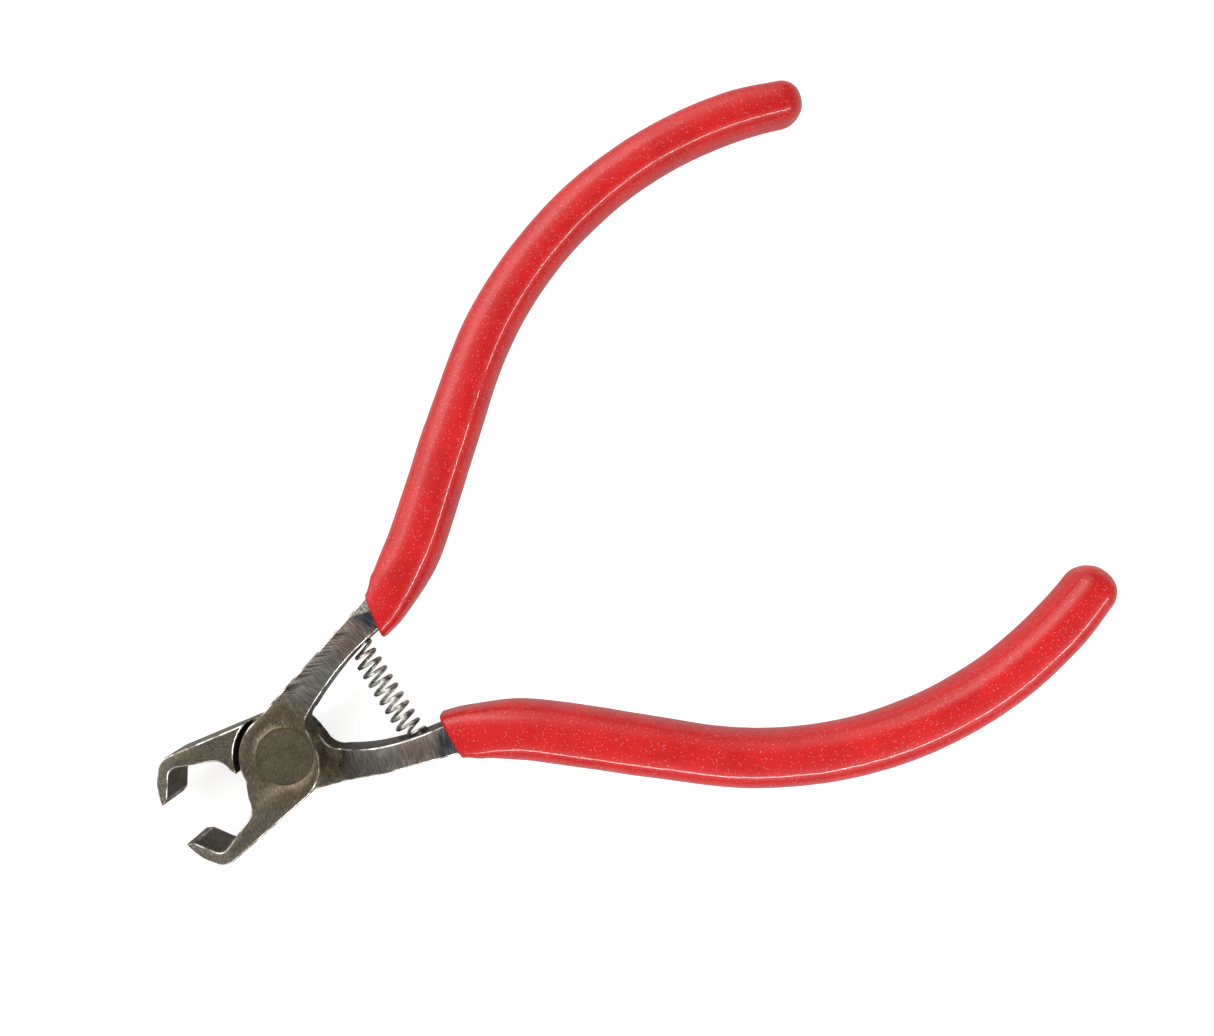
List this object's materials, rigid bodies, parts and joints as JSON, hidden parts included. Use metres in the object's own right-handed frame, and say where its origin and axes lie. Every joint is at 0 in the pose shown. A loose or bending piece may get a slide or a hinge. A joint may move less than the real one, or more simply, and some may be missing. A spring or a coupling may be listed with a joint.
{
  "type": "flush cutter",
  "caption": "Small end-cutting nipper with hooked flush jaws, a riveted lap joint, a coil return spring and dipped vinyl grips, standing open.",
  "frame": {"origin": "on the pivot axis, on the back face of the joint that the tool lies on", "axes": "+X from the pivot towards the handle ends along the line midway between the handles, +Y towards the front lever's handle, +Z from the back face to the front face"},
  "size_m": [0.1244, 0.0937, 0.009],
  "materials": {
    "steel": "brushed, burnished brown-grey",
    "rivet_steel": "ground flush",
    "spring_wire": "drawn wire",
    "grip_vinyl": "glossy dipped vinyl with fine glitter"
  },
  "bodies": {
    "rear": {"rear_lever": "steel", "rear_grip": "grip_vinyl", "pivot_rivet": "rivet_steel"},
    "front": {"front_lever": "steel", "front_grip": "grip_vinyl"},
    "spring": {"return_spring": "spring_wire"}
  },
  "joints": [
    {"name": "closing", "type": "hinge", "parent": "rear", "child": "front", "pos_m": [0, 0, 0], "axis": [0, 0, -1], "range_deg": [0, 19], "stiffness_Nm_per_rad": 0.6, "springref_deg": -5.16, "deforming": ["return_spring"]},
    {"name": "spring_turn", "type": "hinge", "parent": "rear", "child": "spring", "pos_m": [0, 0, 0], "axis": [0, 0, -1], "range_deg": [0, 9.6]}
  ],
  "couplings": [
    {"joint": "spring_turn", "follows": "closing", "ratio": 0.5}
  ]
}
